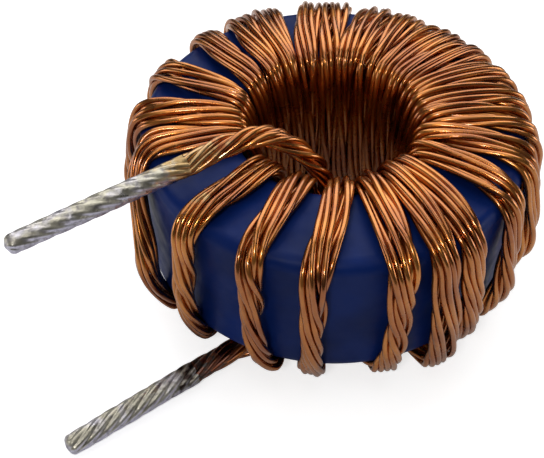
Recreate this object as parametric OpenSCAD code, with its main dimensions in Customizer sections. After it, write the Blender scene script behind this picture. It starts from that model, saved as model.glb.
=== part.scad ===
// Toroidal inductor. A ring of pressed powder in a thin coating is wound with one rope of
// enamelled copper strands. The rope starts as a stiff tinned lead over the top of the ring,
// goes down through the hole, round the ring turn by turn, and leaves under the ring as a
// second tinned lead.
// The origin is the centre of the ring, and +Z is its axis. Angles round the ring are
// counted from -Y, positive towards +X. All sizes are in millimetres.

/* [Core] */
// Outer diameter of the bare powder ring
core_outer_d = 46.7; // [45:0.1:52]
// Hole diameter of the bare powder ring
core_inner_d = 24.1; // [24:0.1:28]
// Height of the bare powder ring
core_h = 18.0; // [15:0.1:25]
// Rounding of the bare ring's edges
core_edge_r = 1.35; // [1:0.05:2.5]
// Thickness of the coating all round the ring
coating_t = 0.25; // [0.1:0.05:0.5]

/* [Winding] */
// Diameter of one enamelled strand
strand_d = 0.76; // [0.6:0.01:0.76]
// Gap between neighbouring strands of the rope
strand_gap = 0.02; // [0.01:0.01:0.1]
// Gap between the rope and the coating
winding_gap = 0.1; // [0.05:0.05:0.3]
// How far the rope bows out from the ring's outer wall, at mid height
wall_bow = 0.7; // [0:0.1:1]

/* [Leads] */
// Diameter of the upper lead's tinned end
upper_lead_d = 2.5; // [2.3:0.1:3]
// Diameter of the lower lead's tinned end
lower_lead_d = 2.8; // [2.3:0.1:3]
// Length of the tip's bevel
lead_tip_l = 0.5; // [0.2:0.1:1]
// Tinned length of the upper lead
upper_lead_l = 21.9; // [10:0.1:40]
// Direction of the upper lead, round the ring's axis
upper_lead_angle = -51.5; // [-56:0.5:-48]
// Tinned length of the lower lead
lower_lead_l = 17.8; // [10:0.1:40]
// Direction of the lower lead, round the ring's axis
lower_lead_angle = -49; // [-56:0.5:-44]

/* [Hidden] */
$fn = 96;

// The turns, in the order in which they are wound. Each row holds the turn's angle at the
// ring's lower edge, on its outer wall, at its upper edge and in its hole, and how far it
// hangs below the ring's outer corner.
TURNS = [[-2, -2.5, -3, 6, 0], [19, 20, 21, 23, 0], [37.5, 33.5, 32, 36.5, 2],
         [44.5, 41.5, 42.5, 47.5, 0.3], [57, 57.5, 60, 64, 0], [74, 76, 79, 79.5, 0],
         [88, 89.5, 91.5, 92, 0], [101, 102, 103.5, 104.5, 0], [114, 114.5, 115.5, 117.5, 0],
         [127, 127.5, 128, 131, 0], [140.5, 141, 141.5, 145, 0], [153, 153.5, 154, 158.5, 0],
         [166, 166.5, 167, 173, 0], [178, 179, 179.5, 187, 0], [189, 190, 190, 199.5, 0],
         [202, 203, 203, 212, 0], [214.5, 215.5, 215.5, 224, 0], [228, 229, 227.5, 236, 0],
         [249, 248, 246.5, 251, 0], [271, 270.5, 270, 272.5, 0], [300.5, 296, 290, 292, 1.2],
         [320.5, 321.5, 319.5, 322, 0], [346, 342, 339, 343.5, 0]];
TURN_COUNT = len(TURNS);
// Where a hanging turn meets the wall: how far out and how far down, as shares of its drop
HANG_OUT = 0.3;
HANG_DOWN = 0.8;
// Heights of the stations on the outer wall, as shares of the wall's half height
WALL_HEIGHTS = [-0.55, 0, 0.55];
// Angle at which the upper lead goes down the hole
START_ANGLE = -4.5;

// Surface of the coated ring
ring_outer_r = core_outer_d / 2 + coating_t;
ring_inner_r = core_inner_d / 2 - coating_t;
ring_h = core_h + 2 * coating_t;
ring_edge_r = core_edge_r + coating_t;
// Centres of the edge roundings, and the middle of the ring's section
edge_outer_r = ring_outer_r - ring_edge_r;
edge_inner_r = ring_inner_r + ring_edge_r;
edge_z = ring_h / 2 - ring_edge_r;
spine_r = (ring_outer_r + ring_inner_r) / 2;

// The rope's strands sit in the places of a ring that is more or less flattened. Each shape
// holds the half width and half height of the places at the sides, then of those at the
// top and the bottom, and how far the upper places are shifted against the lower ones.
strand_pitch = strand_d + strand_gap;
ROUND = strand_pitch * [1.2, 0.5, 0.5, 1.2, 0];
LOOSE = 1.2 * ROUND;
WALL = strand_pitch * [1.44, 0.54, 0.51, 1.03, 0];
EDGE = strand_pitch * [1.55, 0.47, 0.52, 0.47, 0.2];
TOP = strand_pitch * [1.55, 0.5, 0.52, 0.6, 0];
RIM = strand_pitch * [0.92, 0.51, 0.51, 1.49, 0];
WIDE_RIM = strand_pitch * [1.54, 0.54, 0.54, 1.03, 0];
HOLE = strand_pitch * [0.51, 0.51, 0.51, 1.62, 0];
rope_d = 2 * half_height(ROUND);
// Spacing of the turns in the hole at which the rope starts to spread, and at which it is wide
TIGHT_SPACING = 11;
WIDE_SPACING = 16;

// Route of the upper lead, as the distance inwards from the ring's hole wall, the angle, and
// the height over the winding's base, with the lengths in rope diameters
UPPER_ROUTE = [[-3.35, -52, 1.28], [-1.63, -50.5, 1.51], [-0.38, -46, 1.78],
               [0.5, -40, 1.6], [1.0, -33.5, 1.15], [1.38, -26.5, 0.63],
               [1.6, -18, 0.07], [1.7, -10.5, -0.5], [1.72, -6, -1.15],
               [1.65, -4.5, -1.85], [1.3, -4.5, -2.6], [0.95, -4.5, -3.35]];
// Route of the lower lead, as the distance outwards from the ring's outer wall, the angle,
// and the depth under the winding's base, with the lengths in rope diameters
LOWER_ROUTE = [[-2.7, -19, 1.36], [-1.05, -28, 1.36], [0.25, -32, 1.32], [1.5, -34, 1.32]];

function unit(v) = v / norm(v);
function mix(a, b, t) = a + (b - a) * t;
function polar(r, angle, z) = [r * sin(angle), -r * cos(angle), z];

// Half height of a rope of this shape
function half_height(shape) = shape[3] + strand_d / 2;

// The places of the strands, in the order in which a strand moves through them
function places(s) =
    [for (p = [[s[0], -s[1]], [s[0], s[1]], [s[2], s[3]], [-s[2], s[3]],
               [-s[0], s[1]], [-s[0], -s[1]], [-s[2], -s[3]], [s[2], -s[3]]])
        p + [sign(p[1]) * s[4], 0]];

// A station of the rope: its centre, its directions across and outwards, its shape, and how
// many places each strand moves on from the station before. The stretch factor lifts the
// rope so that its straight runs clear a rounded edge, and bow is its distance from the ring.
function station(r0, z0, tilt, stretch, angle, shape, step, bow = 0) =
    let (lift = stretch * (ring_edge_r + winding_gap + half_height(shape)) + bow)
    [polar(r0 + lift * cos(tilt), angle, z0 + lift * sin(tilt)),
     [cos(angle), sin(angle), 0],
     stretch * polar(cos(tilt), angle, sin(tilt)),
     shape, step];

// Station number i of the n that carry the rope round one edge, from the tilt at its start
function edge_station(r0, z0, start, n, i, angle, shape, step) =
    station(r0, z0, start + 90 * (i + 0.5) / n, 1 / cos(45 / n), angle, shape, step);

// Angle at which turn i goes down the hole, past the first or the last turn too
function hole_angle(i) =
    i < 0 ? TURNS[TURN_COUNT - 1][3] - 360 :
    i < TURN_COUNT ? TURNS[i][3] :
    TURNS[0][3] + 360;

// How far the rope of turn i may spread at the rim of the hole, from 0 to 1
function spread(i) =
    let (b = hole_angle(i), room = min(hole_angle(i + 1) - b, b - hole_angle(i - 1)))
    min(max((room - TIGHT_SPACING) / (WIDE_SPACING - TIGHT_SPACING), 0), 1);

// The rope under the ring, where it leaves the hole
function hole_exit(angle, next_angle, rim) =
    [edge_station(edge_inner_r, -edge_z, 180, 2, 0, angle, mix(rim, HOLE, 0.8), 0),
     edge_station(edge_inner_r, -edge_z, 180, 2, 1, mix(angle, next_angle, 0.1),
                  mix(rim, HOLE, 0.2), 0)];

// One turn: up the outer wall, over the top and down the hole
function turn(i) =
    let (foot = TURNS[i][0], wall = TURNS[i][1], shoulder = TURNS[i][2], b = TURNS[i][3],
         drop = TURNS[i][4], rim = mix(RIM, WIDE_RIM, spread(i)))
    [edge_station(edge_outer_r, -edge_z - drop, 270, 2, 0, foot, TOP, 1),
     edge_station(edge_outer_r + HANG_OUT * drop, -edge_z - HANG_DOWN * drop, 270, 2, 1,
                  mix(foot, wall, 0.5), TOP, 0),
     for (t = WALL_HEIGHTS)
         station(edge_outer_r, t * edge_z, 0, 1, wall, WALL, 1, wall_bow * (1 - t * t)),
     edge_station(edge_outer_r, edge_z, 0, 3, 0, shoulder, EDGE, 1),
     edge_station(edge_outer_r, edge_z, 0, 3, 1, shoulder, EDGE, 0),
     edge_station(edge_outer_r, edge_z, 0, 3, 2, mix(shoulder, b, 0.1), TOP, 0),
     station(spine_r, edge_z, 90, 1, mix(shoulder, b, 0.5), mix(TOP, rim, 0.3), 1),
     edge_station(edge_inner_r, edge_z, 90, 3, 0, mix(shoulder, b, 0.9), rim, 1),
     edge_station(edge_inner_r, edge_z, 90, 3, 1, b, mix(rim, HOLE, 0.4), 0),
     edge_station(edge_inner_r, edge_z, 90, 3, 2, b, mix(rim, HOLE, 0.8), 0),
     each hole_exit(b, i == TURN_COUNT - 1 ? b : TURNS[i + 1][0], rim)];

// A station of a lead, at point p, running in direction t
function free_station(p, t, shape) =
    let (from_spine = unit(p - polar(spine_r, atan2(p[0], -p[1]), 0)),
         across = unit(cross(t, from_spine)))
    [p, across, cross(across, t), shape, 1];

// Direction of a route at point i: between its neighbours, or as given at an end
function heading(points, i, first, last) =
    i == 0 ? first :
    i == len(points) - 1 ? last :
    unit(unit(points[i + 1] - points[i]) + unit(points[i] - points[i - 1]));

// The upper lead's route, ending where the first run down the hole begins
winding_top_z = ring_h / 2 + winding_gap;
hole_top = station(edge_inner_r, -edge_z / 2, 180, 1, START_ANGLE, HOLE, 1);
upper_direction = polar(1, upper_lead_angle, 0);
upper_points = [for (p = UPPER_ROUTE)
    polar(ring_inner_r - p[0] * rope_d, p[1], winding_top_z + p[2] * rope_d), hole_top[0]];
upper_shapes = [for (i = [1:8]) ROUND, for (t = [0.25, 0.5, 0.75, 1]) mix(ROUND, HOLE, t)];
upper_stations = [for (i = [0:len(UPPER_ROUTE) - 1])
    free_station(upper_points[i], heading(upper_points, i, -upper_direction, undef),
                 upper_shapes[i])];

// The lower lead's route, beginning where the last turn leaves the hole
winding_stations = [hole_top, each hole_exit(START_ANGLE, TURNS[0][0], RIM),
                    for (i = [0:TURN_COUNT - 1]) each turn(i)];
lower_direction = polar(1, lower_lead_angle, 0);
lower_points = [winding_stations[len(winding_stations) - 1][0], for (p = LOWER_ROUTE)
    polar(ring_outer_r + p[0] * rope_d, p[1], -winding_top_z - p[2] * rope_d)];
lower_shapes = [mix(RIM, ROUND, 0.7), LOOSE, LOOSE, ROUND];
lower_stations = [for (i = [1:len(LOWER_ROUTE)])
    free_station(lower_points[i], heading(lower_points, i, undef, lower_direction),
                 lower_shapes[i - 1])];

stations = [each upper_stations, each winding_stations, each lower_stations];
// Places that the strands have moved on since the first station
steps = [for (i = 0, n = 0; i < len(stations); i = i + 1, n = n + moves(i)) n];
function moves(i) = i < len(stations) ? stations[i][4] : 0;

// The four corners of strand k at station i
function strand_ring(k, i) =
    let (s = stations[i], all_places = places(s[3]), h = strand_d / 2,
         p = all_places[(steps[i] + k) % len(all_places)])
    [for (c = [[h, 0], [0, h], [-h, 0], [0, -h]])
        s[0] + (p[0] + c[0]) * s[1] + (p[1] + c[1]) * s[2]];

// Faces that join rings of four corners into a closed tube
function tube_faces(rings) =
    let (last = 4 * (rings - 1))
    [[0, 2, 1], [0, 3, 2], [last, last + 1, last + 2], [last, last + 2, last + 3],
     for (i = [0:rings - 2], c = [0:3])
        let (a = 4 * i + c, b = 4 * i + (c + 1) % 4)
        each [[a, b, b + 4], [a, b + 4, a + 4]]];

// Section of a ring with rounded edges, between two radii
module ring_section(inner_r, outer_r, height, edge_r) {
    width = outer_r - inner_r;
    translate([inner_r + edge_r, -height / 2])
        square([width - 2 * edge_r, height]);
    translate([inner_r, edge_r - height / 2])
        square([width, height - 2 * edge_r]);
    for (r = [inner_r + edge_r, outer_r - edge_r], z = [-1, 1])
        translate([r, z * (height / 2 - edge_r)])
            circle(edge_r);
}

module core_section() {
    ring_section(core_inner_d / 2, core_outer_d / 2, core_h, core_edge_r);
}

module core() {
    color("dimgray")
        rotate_extrude()
            core_section();
}

module core_coating() {
    color("royalblue")
        rotate_extrude()
            difference() {
                ring_section(ring_inner_r, ring_outer_r, ring_h, ring_edge_r);
                core_section();
            }
}

// One strand of the rope, from lead end to lead end
module strand(k) {
    rings = [for (i = [0:len(stations) - 1]) each strand_ring(k, i)];
    color("peru")
        polyhedron(rings, tube_faces(len(stations)));
}

// A lead end: the tinned ends of all the strands, fused into one round bar
module lead_end(start, angle, length, diameter) {
    r = diameter / 2;
    color("silver")
        translate(start)
            rotate([0, 0, angle - 90])
                rotate([0, 90, 0])
                    rotate_extrude()
                        polygon([[0, 0], [r, 0], [r, length - lead_tip_l],
                                 [r - lead_tip_l, length], [0, length]]);
}

module upper_lead_end() {
    lead_end(upper_points[0], upper_lead_angle, upper_lead_l, upper_lead_d);
}

module lower_lead_end() {
    lead_end(lower_points[len(LOWER_ROUTE)], lower_lead_angle, lower_lead_l, lower_lead_d);
}

core();
core_coating();
strand(0);  // strand_1
strand(1);  // strand_2
strand(2);  // strand_3
strand(3);  // strand_4
strand(4);  // strand_5
strand(5);  // strand_6
strand(6);  // strand_7
strand(7);  // strand_8
upper_lead_end();
lower_lead_end();
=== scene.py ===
"""Looks of the toroidal inductor: round strands, tinned lead ends, coating, light and camera.

Lengths are in millimetres until they reach Blender, which works in metres. The frame is the
CAD model's: origin at the centre of the ring, +Z along its axis. Angles round the ring are
counted from -Y, positive towards +X.
"""
import math

import bpy
import numpy as np
from mathutils import Matrix, Vector
from mathutils.kdtree import KDTree


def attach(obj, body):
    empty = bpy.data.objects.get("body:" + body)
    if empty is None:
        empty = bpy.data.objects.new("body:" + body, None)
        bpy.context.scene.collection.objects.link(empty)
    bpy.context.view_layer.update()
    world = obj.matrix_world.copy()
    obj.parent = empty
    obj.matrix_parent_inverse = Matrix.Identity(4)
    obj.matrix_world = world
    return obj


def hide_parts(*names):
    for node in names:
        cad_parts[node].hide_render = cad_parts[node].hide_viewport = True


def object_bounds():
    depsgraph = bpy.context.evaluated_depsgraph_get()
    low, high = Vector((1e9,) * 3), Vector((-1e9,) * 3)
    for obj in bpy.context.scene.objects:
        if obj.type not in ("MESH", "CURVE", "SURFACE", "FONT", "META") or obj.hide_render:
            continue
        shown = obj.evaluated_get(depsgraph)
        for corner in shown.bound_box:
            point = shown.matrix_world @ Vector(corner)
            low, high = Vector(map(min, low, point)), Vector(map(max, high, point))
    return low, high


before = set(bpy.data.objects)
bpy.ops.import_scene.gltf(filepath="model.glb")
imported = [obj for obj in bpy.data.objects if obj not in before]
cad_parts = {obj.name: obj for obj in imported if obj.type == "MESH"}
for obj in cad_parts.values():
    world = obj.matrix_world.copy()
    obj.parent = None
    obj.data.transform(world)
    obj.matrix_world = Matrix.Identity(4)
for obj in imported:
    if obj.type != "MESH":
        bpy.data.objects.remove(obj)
cad_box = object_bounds()

MM = 0.001
STRAND_NAMES = [f"strand_{k}" for k in range(1, 9)]
STRANDS = len(STRAND_NAMES)

# --- The ring and its winding --------------------------------------------------------------

# The ring's surface, the strand and the gap under the winding are the CAD source's
RING_OUTER_R = 23.6
RING_INNER_R = 11.8
RING_H = 18.5
RING_EDGE_R = 1.6
STRAND_D = 0.76
WINDING_GAP = 0.1
EDGE_OUTER_R = RING_OUTER_R - RING_EDGE_R
EDGE_INNER_R = RING_INNER_R + RING_EDGE_R
EDGE_Z = RING_H / 2 - RING_EDGE_R
SPINE_R = (RING_OUTER_R + RING_INNER_R) / 2
# The winding reaches no further towards +X and +Y, so that it stays in the CAD model's box
WINDING_R = 26.75

# Each turn's angle at the ring's lower edge, on its wall, at its upper edge and in its hole,
# how far the turn hangs below the ring's outer corner, and how far it spreads to a flat ribbon.
# The order is the CAD source's. Many of the angles are the scene's own, most of them within
# 2 degrees of the source's; the wires of turns 18 to 21 lie up to 9 degrees beside the solids.
TURNS = [(-2, -2.2, -2.4, 6, 0, 0), (18.5, 19.8, 20.2, 23, 0, 0),
         (37, 33.5, 31.5, 36.5, 2.6, 0.1), (43, 42, 41, 47.5, 0, 0.1),
         (58, 57.5, 60.5, 64, 0, 0.6), (73.5, 75.5, 77.5, 79.5, 0, 0.9),
         (88, 89.5, 91.5, 92, 0, 0.8), (101, 102, 103.5, 105.5, 0, 0.9),
         (114, 114.5, 115.5, 119, 0, 0.9), (127, 127.5, 128.5, 133, 0, 0.9),
         (140.5, 141, 140.5, 146.5, 0, 0.9), (153, 153.5, 154.5, 160, 0, 0.8),
         (166, 166.5, 165.5, 172.5, 0, 0.8), (178, 179, 180.5, 185.5, 0, 0.5),
         (189, 189, 188, 198.5, 0, 0.3), (202, 203, 204.5, 212, 0, 0.6),
         (214.5, 215, 214, 224, 0, 0.7), (227, 228, 228.5, 240, 0, 0.75),
         (249.5, 249, 250, 260, 0, 1.05), (271, 270.5, 272, 276.5, 0, 1.15),
         (306, 303, 286, 292, 0.6, 0.95), (322, 321, 320.5, 322, 0, 0.1),
         (345.5, 342, 340, 343.5, 0, 0)]
START_ANGLE = -4.5

# The rope's middle stands off the ring's wall and its top by these
WALL_BOW = 0.8
TOP_BOW = 0.6
# Heights of a turn's points on the wall, as parts of the height of the upper edge's centre
WALL_HEIGHTS = (-0.55, 0, 0.55)
# Spacing of the turns in the hole at which the rope starts to spread, and at which it is wide
TIGHT_SPACING = 11
WIDE_SPACING = 16

# Rope shapes: half width and half height of the places at the sides, then at top and bottom,
# and how far the upper places are shifted one way and the lower ones the other
PITCH = STRAND_D + 0.02
ROUND = PITCH * np.array([1.2, 0.5, 0.5, 1.2, 0])
LOW_WALL = PITCH * np.array([1.12, 0.5, 0.48, 1.15, 0])
LOOSE_WALL = {2: PITCH * np.array([2.8, 0.5, 1, 1.2, 0]),
              20: PITCH * np.array([2.3, 0.7, 0.9, 1.8, 0])}
HIGH_WALL = PITCH * np.array([1.5, 0.48, 0.55, 0.75, 0.1])
EDGE = PITCH * np.array([1.65, 0.42, 0.55, 0.42, 0.25])
TOP = PITCH * np.array([1.6, 0.45, 0.53, 0.5, 0.25])
RIBBON = PITCH * np.array([2.6, 0.15, 0.9, 0.15, 0.45])
FOOT = PITCH * np.array([1.65, 0.4, 0.55, 0.42, 0.2])
RIM = PITCH * np.array([0.92, 0.51, 0.51, 1.49, 0])
WIDE_RIM = PITCH * np.array([1.9, 0.54, 0.65, 0.8, 0.2])
HOLE = PITCH * np.array([0.85, 0.48, 0.58, 1.3, 0])
ROPE_D = 2 * ROUND[3] + STRAND_D

# The leads' routes, as the CAD source has them, with the lengths in rope diameters. Upper:
# distance from the hole's wall into the hole, angle, height over the winding's base. Lower:
# distance outwards from the ring's outer wall, angle, depth under the winding's base
UPPER_ROUTE = [(-3.35, -52, 1.28), (-1.63, -50.5, 1.51), (-0.38, -46, 1.78), (0.5, -40, 1.6),
               (1.0, -33.5, 1.15), (1.38, -26.5, 0.63), (1.6, -18, 0.07), (1.7, -10.5, -0.5),
               (1.72, -6, -1.15), (1.65, -4.5, -1.85), (1.3, -4.5, -2.6), (0.95, -4.5, -3.35)]
LOWER_ROUTE = [(-2.7, -19, 1.36), (-1.05, -28, 1.36), (0.25, -32, 1.32), (1.5, -34, 1.32)]
UPPER_LEAD = dict(angle=-51.5, length=21.9, radius=1.25, tip=1.0, crown=0.07)
LOWER_LEAD = dict(angle=-49, length=17.8, radius=1.4, tip=0.8, crown=0.02)
# Length over which the strands' lobes turn to soldered ones
SOLDER_RUN = 3

# Lay of the strands: rope length in which they go once round the rope
LEAD_LAY = 17
WALL_LAY = 22
TOP_LAY = 60
HOLE_LAY = 60
FOOT_LAY = 38

# How far a strand strays from its place: along the round of places, to the sides, with a few
# larger strays, and in height, and the rope length within which each of these changes
PLACE_STRAY = 0.04
SIDE_STRAY = 0.15
FAR_SIDE_STRAY = 0.02
HEIGHT_STRAY = 0.08
STRAY_REACH = (16, 10, 8)
# Samples at each end of the rope over which the strays grow from nothing
CALM_SAMPLES = 12

# The relaxation of the strands: rounds, how many of the last ones only push, rounds between
# two searches for contacts, and the strength of the easing and of the pushing
ROUNDS = 100
PUSH_ROUNDS = 15
SEARCH_ROUNDS = 12
EASE = 0.12
PUSH = 0.3

# --- Small helpers -------------------------------------------------------------------------


def polar(r, angle, z):
    """A point from its radius, its angle in degrees and its height."""
    a = math.radians(angle)
    return np.array([r * math.sin(a), -r * math.cos(a), z])


def mix(a, b, t):
    return a + (b - a) * t


def unit(v):
    return v / np.linalg.norm(v, axis=-1, keepdims=True)


def wander(samples, reach, rng):
    """Smooth random values of about unit size along the rope, that change within reach."""
    x = np.arange(samples) * STEP / reach
    knots = rng.normal(size=int(x[-1]) + 3)
    i = x.astype(int)
    t = x - i
    return mix(knots[i], knots[i + 1], t * t * (3 - 2 * t))


# --- The rope's route ----------------------------------------------------------------------

# Spacing of the rope's samples
STEP = 0.75


def station(r0, z0, tilt, stretch, angle, shape, lay, bow=0):
    """A control point of the rope: centre, across, outward, shape and lay in one row.

    It lies in the direction of tilt from the centre of the ring's edge at r0 and z0, as far out
    as a rope of this shape on the edge's rounding, times stretch and plus bow.
    """
    a, t = math.radians(angle), math.radians(tilt)
    lift = stretch * (RING_EDGE_R + WINDING_GAP + shape[3] + STRAND_D / 2) + bow
    return np.concatenate([polar(r0 + lift * math.cos(t), angle, z0 + lift * math.sin(t)),
                           [math.cos(a), math.sin(a), 0],
                           polar(math.cos(t), angle, math.sin(t)), shape, [lay]])


def hole_exit(angle, next_angle, rim):
    """The rope where it leaves the hole under the ring."""
    stretch = 1 / math.cos(math.radians(22.5))
    return [station(EDGE_INNER_R, -EDGE_Z, 202.5, stretch, angle, mix(rim, HOLE, 0.8), HOLE_LAY),
            station(EDGE_INNER_R, -EDGE_Z, 247.5, stretch, mix(angle, next_angle, 0.1),
                    mix(rim, HOLE, 0.2), FOOT_LAY)]


def turn(i, rng):
    """The control points of one turn: up the wall, over the top and down the hole."""
    foot, wall, shoulder, b, drop, wide = TURNS[i]
    before = TURNS[i - 1][3] - (360 if i == 0 else 0)
    after = TURNS[(i + 1) % len(TURNS)][3] + (360 if i == len(TURNS) - 1 else 0)
    room = (min(after - b, b - before) - TIGHT_SPACING) / (WIDE_SPACING - TIGHT_SPACING)
    rim = mix(RIM, WIDE_RIM, np.clip(room, 0, 1))
    wall_lay = (2 if i in LOOSE_WALL else 1) * WALL_LAY * rng.uniform(0.85, 1.2)
    top_lay = TOP_LAY * rng.uniform(0.6, 1.6)
    wall_angles = (np.array([mix(wall, foot, 0.4), wall, mix(wall, shoulder, 0.4)])
                   + rng.normal(size=3) * 0.15)
    corner = mix(1.2, 1.11, wide)
    loose = rng.uniform(-0.2, 0.5)
    edge, top = mix(EDGE, RIBBON, wide), mix(TOP, RIBBON, 0.7 * wide)
    high_wall = mix(HIGH_WALL, RIBBON, 0.3 * wide)
    low_wall = LOOSE_WALL.get(i, LOW_WALL)
    twist = max(1 - wide, 0)
    return [station(EDGE_OUTER_R, -EDGE_Z - drop, 292, 0.97, foot, FOOT, FOOT_LAY),
            station(EDGE_OUTER_R + 0.3 * drop, -EDGE_Z - 0.8 * drop, 338, 1,
                    mix(foot, wall, 0.5), FOOT, wall_lay),
            *[station(EDGE_OUTER_R, t * EDGE_Z, 0, 1, angle, mix(low_wall, high_wall, t + 0.45),
                      wall_lay, WALL_BOW * (1 - t * t))
              for t, angle in zip(WALL_HEIGHTS, wall_angles)],
            station(EDGE_OUTER_R, EDGE_Z, 12, corner, mix(wall, shoulder, 0.7),
                    mix(edge, LOW_WALL, 0.5 * twist), mix(top_lay, wall_lay, twist)),
            station(EDGE_OUTER_R, EDGE_Z, 78, corner, mix(shoulder, b, 0.1), edge, top_lay),
            station(SPINE_R, EDGE_Z, 90, 1, mix(shoulder, b, 0.5), mix(top, rim, 0.3), top_lay,
                    TOP_BOW + 0.5 * loose),
            station(EDGE_INNER_R, EDGE_Z, 108, 1.04, mix(shoulder, b, 0.85),
                    mix(rim, WIDE_RIM, 0.4), top_lay, loose),
            station(EDGE_INNER_R, EDGE_Z, 150, 1.04, b, mix(rim, HOLE, 0.4), HOLE_LAY),
            station(EDGE_INNER_R, 1, 180, 1, b, HOLE, HOLE_LAY, 0.7),
            *hole_exit(b, b if i == len(TURNS) - 1 else TURNS[i + 1][0], rim)]


def lead(points, shapes, lay, first=None, last=None):
    """The control points of a lead's route through these points."""
    out = []
    for i, (p, shape) in enumerate(zip(points, shapes)):
        if i == 0:
            along = first
        elif i == len(points) - 1:
            along = last
        else:
            along = unit(unit(points[i + 1] - p) + unit(p - points[i - 1]))
        spine = polar(SPINE_R, math.degrees(math.atan2(p[0], -p[1])), 0)
        across = unit(np.cross(along, p - spine))
        out.append(np.concatenate([p, across, np.cross(across, along), shape, [lay]]))
    return out


def rope(rng):
    """The whole rope from the upper lead to the lower one, sampled every STEP.

    Returns the samples' centres, directions across and outward, shapes and lays.
    """
    base_z = RING_H / 2 + WINDING_GAP
    hole_top = station(EDGE_INNER_R, -EDGE_Z / 2, 180, 1, START_ANGLE, HOLE, HOLE_LAY)
    upper = [polar(RING_INNER_R - r * ROPE_D, a, base_z + z * ROPE_D) for r, a, z in UPPER_ROUTE]
    shapes = [ROUND] * 8 + [mix(ROUND, HOLE, t) for t in (0.25, 0.5, 0.75, 1)]
    rows = lead(upper + [hole_top[:3]], shapes, LEAD_LAY, first=-polar(1, UPPER_LEAD["angle"], 0))
    rows += [hole_top, *hole_exit(START_ANGLE, TURNS[0][0], RIM)]
    for i in range(len(TURNS)):
        rows += turn(i, rng)
    lower = [polar(RING_OUTER_R + r * ROPE_D, a, -base_z - z * ROPE_D) for r, a, z in LOWER_ROUTE]
    shapes = [RIM, mix(RIM, ROUND, 0.7), 1.5 * ROUND, 1.6 * ROUND, 1.1 * ROUND]
    rows += lead([rows[-1][:3]] + lower, shapes, LEAD_LAY, first=unit(lower[0] - rows[-1][:3]),
                 last=polar(1, LOWER_LEAD["angle"], 0))[1:]
    rows = np.array(rows)
    for _ in range(3):
        cut = np.stack([mix(rows[:-1], rows[1:], 0.25), mix(rows[:-1], rows[1:], 0.75)], axis=1)
        rows = np.concatenate([rows[:1], cut.reshape(-1, rows.shape[1])[1:-1], rows[-1:]])
    way = np.concatenate([[0], np.cumsum(np.linalg.norm(np.diff(rows[:, :3], axis=0), axis=1))])
    even = np.linspace(0, way[-1], round(way[-1] / STEP) + 1)
    rows = np.stack([np.interp(even, way, column) for column in rows.T], axis=-1)
    return rows[:, :3], unit(rows[:, 3:6]), unit(rows[:, 6:9]), rows[:, 9:14], rows[:, 14]


# --- The strands ---------------------------------------------------------------------------


def place(shape, u):
    """Position in the rope's section of a strand that is at u, counted in rounds."""
    xe, ye, xm, ym, skew = shape.T
    xs = np.stack([xe - skew, xe + skew, xm + skew, -xm + skew, -xe + skew, -xe - skew,
                   -xm - skew, xm - skew], axis=-1)
    ys = np.stack([-ye, ye, ym, ym, ye, -ye, -ym, -ym], axis=-1)
    t = (u % 1) * 8
    i = np.floor(t).astype(int) % 8
    row = np.arange(len(u))
    f = t - np.floor(t)
    return (mix(xs[row, i], xs[row, (i + 1) % 8], f), mix(ys[row, i], ys[row, (i + 1) % 8], f))


def lay_strands(rng):
    """First guess of the strands' centre lines, by strand, sample and XYZ, and the rope's own."""
    centre, across, outward, shape, lay = rope(rng)
    u = np.cumsum(STEP / lay)
    n = np.arange(len(u))
    calm = np.clip(np.minimum(n, n[::-1]) / CALM_SAMPLES, 0, 1)
    lines = []
    for k in range(STRANDS):
        on, side, high = [wander(len(u), reach, rng) * calm for reach in STRAY_REACH]
        x, y = place(shape, u + k / STRANDS + PLACE_STRAY * on)
        x, y = x + SIDE_STRAY * side + FAR_SIDE_STRAY * side ** 3, y + HEIGHT_STRAY * high
        lines.append(centre + x[:, None] * across + y[:, None] * outward)
    return np.array(lines), centre


def close_pairs(points, reach):
    """Index pairs of points nearer than reach, apart from near neighbours on one strand."""
    tree = KDTree(len(points))
    for i, p in enumerate(points):
        tree.insert(p, i)
    tree.balance()
    pairs = np.array([(i, j) for i, p in enumerate(points)
                      for _, j, _ in tree.find_range(p, reach) if j > i])
    return pairs[np.abs(pairs[:, 0] - pairs[:, 1]) > 3]


def off_ring(p, clearance):
    """The moves that bring points in or too near the ring out to this clearance from it."""
    r = np.hypot(p[:, 0], p[:, 1])
    out_r = r - np.clip(r, EDGE_INNER_R, EDGE_OUTER_R)
    out_z = p[:, 2] - np.clip(p[:, 2], -EDGE_Z, EDGE_Z)
    gap = np.maximum(np.hypot(out_r, out_z), 0.01)
    push = np.clip(RING_EDGE_R + clearance - gap, 0, None) / gap
    return np.stack([p[:, 0] / r * out_r, p[:, 1] / r * out_r, out_z], axis=-1) * push[:, None]


def settle(lines, centre):
    """Eases the strands along the rope and pushes them off each other and off the ring."""
    strands, samples, _ = lines.shape
    bend = centre[:-2] + centre[2:] - 2 * centre[1:-1]
    free = np.ones((strands, samples, 1))
    free[:, [0, -1]] = 0
    free = free.reshape(-1, 1)
    p = lines.reshape(-1, 3).copy()
    for n in range(ROUNDS):
        if n % SEARCH_ROUNDS == 0:
            i, j = close_pairs(p, STRAND_D * 1.6).T
        if n < ROUNDS - PUSH_ROUNDS:
            grid = p.reshape(strands, samples, 3)
            pull = np.zeros_like(grid)
            pull[:, 1:-1] = EASE * (grid[:, :-2] + grid[:, 2:] - 2 * grid[:, 1:-1] - bend)
            p += pull.reshape(-1, 3) * free
        d = p[j] - p[i]
        length = np.linalg.norm(d, axis=1)
        push = d * (PUSH * np.clip(STRAND_D - length, 0, None) / np.maximum(length, 1e-6))[:, None]
        for c in range(3):
            p[:, c] += free[:, 0] * (np.bincount(j, push[:, c], len(p))
                                     - np.bincount(i, push[:, c], len(p)))
        p += off_ring(p, STRAND_D / 2) * free
        p[:, :2] = np.minimum(p[:, :2], WINDING_R - STRAND_D / 2)
    return p.reshape(strands, samples, 3)


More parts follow.
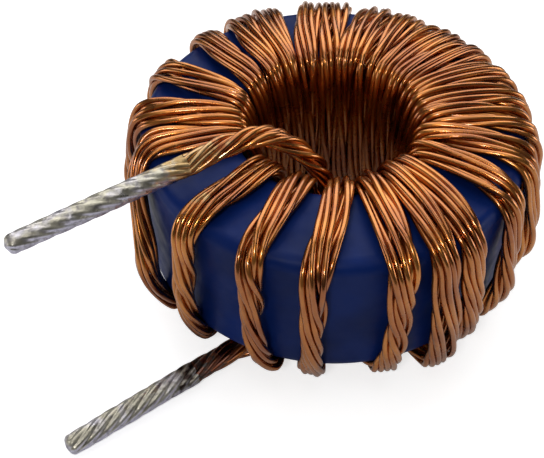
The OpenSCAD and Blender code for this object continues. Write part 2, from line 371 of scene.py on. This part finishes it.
def tube_faces(rings, sides):
    """The faces of a closed tube whose vertices are listed ring by ring."""
    j = np.arange(rings - 1)[:, None] * sides
    c = np.arange(sides)[None, :]
    n = (c + 1) % sides
    quads = np.stack([j + c, j + n, j + n + sides, j + c + sides], axis=-1).reshape(-1, 4)
    return [*quads.tolist(), list(range(sides))[::-1],
            list(range((rings - 1) * sides, rings * sides))]


def tube(line, radius, sides=10):
    """Vertices and faces of a round tube along a line, with closed ends."""
    along = unit(np.gradient(line, axis=0))
    side = np.zeros_like(line)
    side[0] = unit(np.cross(along[0], [0.3, 0.2, 0.9]))
    for j in range(1, len(line)):
        side[j] = side[j - 1] - along[j] * np.dot(side[j - 1], along[j])
        side[j] /= math.sqrt(np.dot(side[j], side[j]))
    up = np.cross(along, side)
    a = np.arange(sides) * 2 * math.pi / sides
    rings = (line[:, None] + radius * (np.cos(a)[None, :, None] * side[:, None]
                                       + np.sin(a)[None, :, None] * up[:, None]))
    return rings.reshape(-1, 3), tube_faces(len(line), sides)


def finer(line, factor):
    """The line with more samples, through a Catmull-Rom curve."""
    t = np.arange(0, len(line) - 1 + 1e-9, 1 / factor)
    i = np.minimum(t.astype(int), len(line) - 2)
    f = (t - i)[:, None]
    slope = np.gradient(line, axis=0)
    return ((2 * f**3 - 3 * f**2 + 1) * line[i] + (f**3 - 2 * f**2 + f) * slope[i]
            + (3 * f**2 - 2 * f**3) * line[i + 1] + (f**3 - f**2) * slope[i + 1])


def lead_end(start, strand_starts, way, length, radius, tip, crown, sign, seed):
    """Vertices and faces of a tinned lead end, as a bar of twisted, half filled lobes.

    It starts at start, where the strands' centres are at strand_starts, and runs along way. The
    tip is rounded over the length tip, crown is how much fuller of solder it is on top, and sign
    is the way of the twist.
    """
    rng = np.random.default_rng(seed)
    side = unit(np.cross([0, 0, 1], way))
    up = np.cross(way, side)
    offsets = strand_starts - start
    sides, step = 96, 0.2
    s = np.arange(0, length + step / 2, step)
    s[-1] = length
    theta = np.arange(sides) * 2 * math.pi / sides
    wet = np.clip(s / SOLDER_RUN, 0, 1)
    lobe_r = mix(STRAND_D / 2, 0.36 * radius, wet)
    full = 0.86 + crown * np.clip(2 * np.sin(theta), 0, 1)
    r = radius * mix(0.6, full[None], wet[:, None])
    knots = np.arange(0, length + 6, 3)
    for x, y in zip(offsets @ side, offsets @ up):
        slow = np.interp(s, knots, rng.normal(size=len(knots)))
        reach = mix(math.hypot(x, y), radius - lobe_r, wet) * (1 + 0.02 * slow)
        at = math.atan2(y, x) + sign * 2 * math.pi * s / LEAD_LAY + 0.05 * slow * wet
        psi = theta[None] - at[:, None]
        inside = lobe_r[:, None]**2 - (reach[:, None] * np.sin(psi))**2
        ring = np.where((inside > 0) & (np.cos(psi) > 0),
                        reach[:, None] * np.cos(psi) + np.sqrt(np.maximum(inside, 0)), 0)
        r = np.maximum(r, ring)
    left = np.clip((length - s) / tip, 0, 1)
    slim = 1 - 0.07 * np.clip(2 * s / length - 1, 0, 1)
    r *= (slim * np.sqrt(mix(0.12, 1, 1 - (1 - left) ** 2)))[:, None]
    r[-1] *= 0.4
    rings = (start + s[:, None, None] * way + r[..., None] * (np.cos(theta)[None, :, None] * side
                                                              + np.sin(theta)[None, :, None] * up))
    return rings.reshape(-1, 3), tube_faces(len(s), sides)


def add_piece(name, verts, faces, material, nodes):
    """A smooth mesh piece of the object that stands for these CAD nodes."""
    mesh = bpy.data.meshes.new(name)
    mesh.from_pydata((np.asarray(verts) * MM).tolist(), [], faces)
    mesh.shade_smooth()
    mesh.set_sharp_from_angle(angle=math.radians(50))
    mesh.materials.append(material)
    piece = bpy.data.objects.new(name, mesh)
    bpy.context.collection.objects.link(piece)
    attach(piece, "root")
    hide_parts(*nodes)
    return piece


# --- Materials -----------------------------------------------------------------------------


class Surface:
    """A material's node tree, with short ways to add nodes to it. Sizes are in millimetres."""

    def __init__(self, name):
        self.material = bpy.data.materials.new(name)
        self.material.use_nodes = True
        self.tree = self.material.node_tree
        self.shader = self.tree.nodes["Principled BSDF"]
        coordinates = self.tree.nodes.new("ShaderNodeTexCoord")
        self.spot, self.facing = coordinates.outputs["Object"], coordinates.outputs["Normal"]

    def feed(self, node, inputs):
        """Links sockets to a node's inputs and sets its other inputs to the values."""
        for key, value in inputs.items():
            if isinstance(value, bpy.types.NodeSocket):
                self.tree.links.new(value, node.inputs[key])
            else:
                node.inputs[key].default_value = value

    def finish(self, **inputs):
        """Feeds the shader's inputs, named with underscores, and returns the material."""
        self.feed(self.shader, {key.replace("_", " "): v for key, v in inputs.items()})
        return self.material

    def node(self, kind, inputs, **settings):
        node = self.tree.nodes.new("ShaderNode" + kind)
        for key, value in settings.items():
            setattr(node, key, value)
        self.feed(node, inputs)
        return node

    def noise(self, size_mm, detail=3, rough=0.5, distortion=0):
        return self.node("TexNoise", {"Vector": self.spot, "Scale": 1 / (size_mm * MM),
                                      "Detail": detail, "Roughness": rough,
                                      "Distortion": distortion}).outputs["Fac"]

    def span(self, value, low, high, to_low=0, to_high=1):
        """The value's range from low to high, stretched to another range and cut off there."""
        return self.node("MapRange", {"Value": value, "From Min": low, "From Max": high,
                                      "To Min": to_low, "To Max": to_high}).outputs["Result"]

    def blend(self, factor, a, b):
        return self.node("Mix", {0: factor, 6: a, 7: b}, data_type="RGBA").outputs[2]

    def math(self, operation, a, b):
        return self.node("Math", {0: a, 1: b}, operation=operation).outputs[0]

    def near(self, place_mm, full_mm, none_mm, ragged):
        """1 near a place of the object and 0 far from it, with a ragged edge between."""
        away = self.node("VectorMath", {0: self.spot, 1: [c * MM for c in place_mm]},
                         operation="DISTANCE").outputs["Value"]
        away = self.math("ADD", away, self.span(ragged, 0.3, 0.7, -3 * MM, 3 * MM))
        return self.span(away, full_mm * MM, none_mm * MM, 1, 0)

    def bump(self, height, depth_mm, strength=1.0):
        return self.node("Bump", {"Height": height, "Distance": depth_mm * MM,
                                  "Strength": strength}).outputs["Normal"]


def copper_enamel(upper_joint, lower_joint):
    s = Surface("enamelled_copper")
    patches, fine = s.noise(6, 3), s.noise(1.5, 2)
    color = s.blend(s.span(patches, 0.35, 0.65), (0.36, 0.12, 0.028, 1), (0.68, 0.29, 0.058, 1))
    color = s.blend(s.span(fine, 0.5, 0.75, 0, 0.45), color, (0.26, 0.065, 0.02, 1))
    rough = s.span(s.noise(3, 3), 0.3, 0.7, 0.2, 0.34)
    burnt = s.near(lower_joint, 3.5, 9, s.noise(1.6, 4))
    charred = s.near(lower_joint, 1, 3, s.noise(1.2, 3))
    tinned = s.near(upper_joint + (0, 0, 1), 2, 5, s.noise(1.2, 3))
    color = s.blend(tinned, color, (0.52, 0.36, 0.17, 1))
    color = s.blend(burnt, color, (0.2, 0.07, 0.035, 1))
    color = s.blend(charred, color, (0.015, 0.01, 0.008, 1))
    rough = s.math("ADD", rough, s.math("MULTIPLY", charred, 0.3))
    metal = s.span(charred, 0, 1, 1, 0.3)
    return s.finish(Base_Color=color, Metallic=metal, Roughness=rough,
                    Normal=s.bump(s.noise(1.6, 2), 0.03), Coat_Weight=0.75,
                    Coat_Roughness=0.09, Coat_IOR=1.6, Coat_Tint=(1, 0.84, 0.7, 1))


def blue_coating():
    s = Surface("blue_coating")
    color = s.blend(s.span(s.noise(7, 3), 0.35, 0.65), (0.002, 0.012, 0.085, 1),
                    (0.003, 0.02, 0.14, 1))
    rough = s.span(s.noise(1.5, 3), 0.3, 0.7, 0.34, 0.5)
    return s.finish(Base_Color=color, Roughness=rough, Specular_IOR_Level=0.12,
                    Normal=s.bump(s.noise(5, 2), 0.15))


def powder_core():
    s = Surface("powder_core")
    color = s.blend(s.noise(0.4, 4), (0.02, 0.02, 0.022, 1), (0.06, 0.06, 0.065, 1))
    return s.finish(Base_Color=color, Roughness=0.8, Normal=s.bump(s.noise(0.3, 3), 0.05))


def tinned_copper(upper_joint, lower_joint):
    s = Surface("tinned_copper")
    # Painted light: the side that faces up gets a mottled olive-gold tint, which is the painted
    # colour of light falling on the top. The lavender-silver elsewhere is a painted cool
    # reflection.
    top = s.span(s.node("SeparateXYZ", {0: s.facing}).outputs["Z"], 0.1, 0.6)
    painted_top_tint = s.math("MULTIPLY", top, s.span(s.noise(3, 4, distortion=0.5), 0.3, 0.5, 0.15, 0.85))
    color = s.blend(painted_top_tint, (0.68, 0.66, 0.79, 1), (0.46, 0.43, 0.3, 1))
    color = s.blend(s.span(s.noise(0.6, 4), 0.48, 0.7, 0, 0.7), color, (0.2, 0.18, 0.2, 1))
    color = s.blend(s.near(upper_joint, 1.5, 4.5, s.noise(1.5, 3)), color, (0.52, 0.36, 0.17, 1))
    color = s.blend(s.near(lower_joint, 1, 4, s.noise(1.2, 4)), color, (0.05, 0.035, 0.03, 1))
    rough = s.span(s.noise(1.2, 4), 0.3, 0.7, 0.25, 0.5)
    return s.finish(Base_Color=color, Metallic=1.0, Roughness=rough,
                    Normal=s.bump(s.noise(0.9, 3), 0.12))


# --- Camera, floor and light ---------------------------------------------------------------


def add_camera(place_mm, target_mm, lens, roll):
    camera = bpy.data.objects.new("camera", bpy.data.cameras.new("camera"))
    camera.data.sensor_width = 36
    camera.data.lens = lens
    camera.location = Vector(place_mm) * MM
    look = (Vector(target_mm) - Vector(place_mm)).to_track_quat("-Z", "Y")
    camera.rotation_mode = "QUATERNION"
    camera.rotation_quaternion = look @ Matrix.Rotation(math.radians(roll), 3, "Z").to_quaternion()
    camera.data.clip_start = 0.001
    bpy.context.collection.objects.link(camera)
    bpy.context.scene.camera = camera


def add_softbox(name, place_mm, target_mm, width_mm, height_mm, watts, color=(1, 1, 1)):
    light = bpy.data.objects.new(name, bpy.data.lights.new(name, "AREA"))
    light.data.shape = "RECTANGLE"
    light.data.size = width_mm * MM
    light.data.size_y = height_mm * MM
    light.data.energy = watts
    light.data.color = color
    light.location = Vector(place_mm) * MM
    light.rotation_mode = "QUATERNION"
    light.rotation_quaternion = (Vector(target_mm) - Vector(place_mm)).to_track_quat("-Z", "Y")
    bpy.context.collection.objects.link(light)


def add_floor(z):
    """A pale floor that turns white for the camera, except near the object, where the floor is
    left darker as painted shade.
    """
    size = 4
    mesh = bpy.data.meshes.new("floor")
    mesh.from_pydata([(-size, -size, z), (size, -size, z), (size, size, z), (-size, size, z)], [],
                     [(0, 1, 2, 3)])
    floor = bpy.data.objects.new("floor", mesh)
    bpy.context.collection.objects.link(floor)
    s = Surface("floor")
    path = s.node("LightPath", {})
    # Painted shade: the floor gets no glow within 20 mm of a point 18 mm behind the ring's centre,
    # and full glow from 26 mm, so the floor in and round the hole stays darker.
    away = s.node("VectorMath", {0: s.spot, 1: (0, 0.018, z)}, operation="DISTANCE")
    glow_beyond_painted_shade = s.math("MULTIPLY", path.outputs["Is Camera Ray"],
                  s.span(away.outputs["Value"], 0.02, 0.026, 0, 0.65))
    mesh.materials.append(s.finish(Base_Color=(0.8, 0.8, 0.8, 1), Roughness=0.9,
                                   Emission_Color=(1, 1, 1, 1), Emission_Strength=glow_beyond_painted_shade))


def add_world():
    world = bpy.data.worlds.new("world")
    bpy.context.scene.world = world
    world.use_nodes = True
    background = world.node_tree.nodes["Background"]
    background.inputs["Color"].default_value = (1, 1, 1, 1)
    background.inputs["Strength"].default_value = 0.07


# --- Build ---------------------------------------------------------------------------------

bpy.context.scene.view_settings.view_transform = "Standard"
add_camera((-0.49, -95.97, 92.94), (-6.71, -9.86, 0), 68.5, 0.2)
add_world()
add_floor(cad_box[0][2])
add_softbox("overhead", (0, 200, 230), (0, 0, 0), 420, 280, 0.7)
add_softbox("key", (-20, -40, 260), (0, 0, 0), 240, 140, 0.13)
add_softbox("front", (-40, -210, 220), (0, 0, 0), 40, 40, 0.21)
add_softbox("left", (-200, -30, 45), (0, 0, 0), 130, 70, 0.07)
add_softbox("right", (200, 0, 45), (0, 0, 0), 130, 70, 0.08)

rng = np.random.default_rng(7)
lines, centre = lay_strands(rng)
lines = settle(lines, centre)
copper = copper_enamel(centre[0], centre[-1])
for name, line in zip(STRAND_NAMES, lines):
    verts, faces = tube(finer(line, 2), STRAND_D / 2)
    add_piece("copper_" + name, verts, faces, copper, [name])

tin = tinned_copper(centre[0], centre[-1])
for node, end, spec, sign in (("upper_lead_end", 0, UPPER_LEAD, 1),
                              ("lower_lead_end", -1, LOWER_LEAD, -1)):
    way = polar(1, spec["angle"], 0)
    verts, faces = lead_end(centre[end], lines[:, end], way, spec["length"], spec["radius"],
                            spec["tip"], spec["crown"], sign, seed=end + 5)
    add_piece("tinned_" + node, verts, faces, tin, [node])

for node, material in (("core_coating", blue_coating()), ("core", powder_core())):
    solid = bpy.data.objects[node]
    solid.data.materials.clear()
    solid.data.materials.append(material)
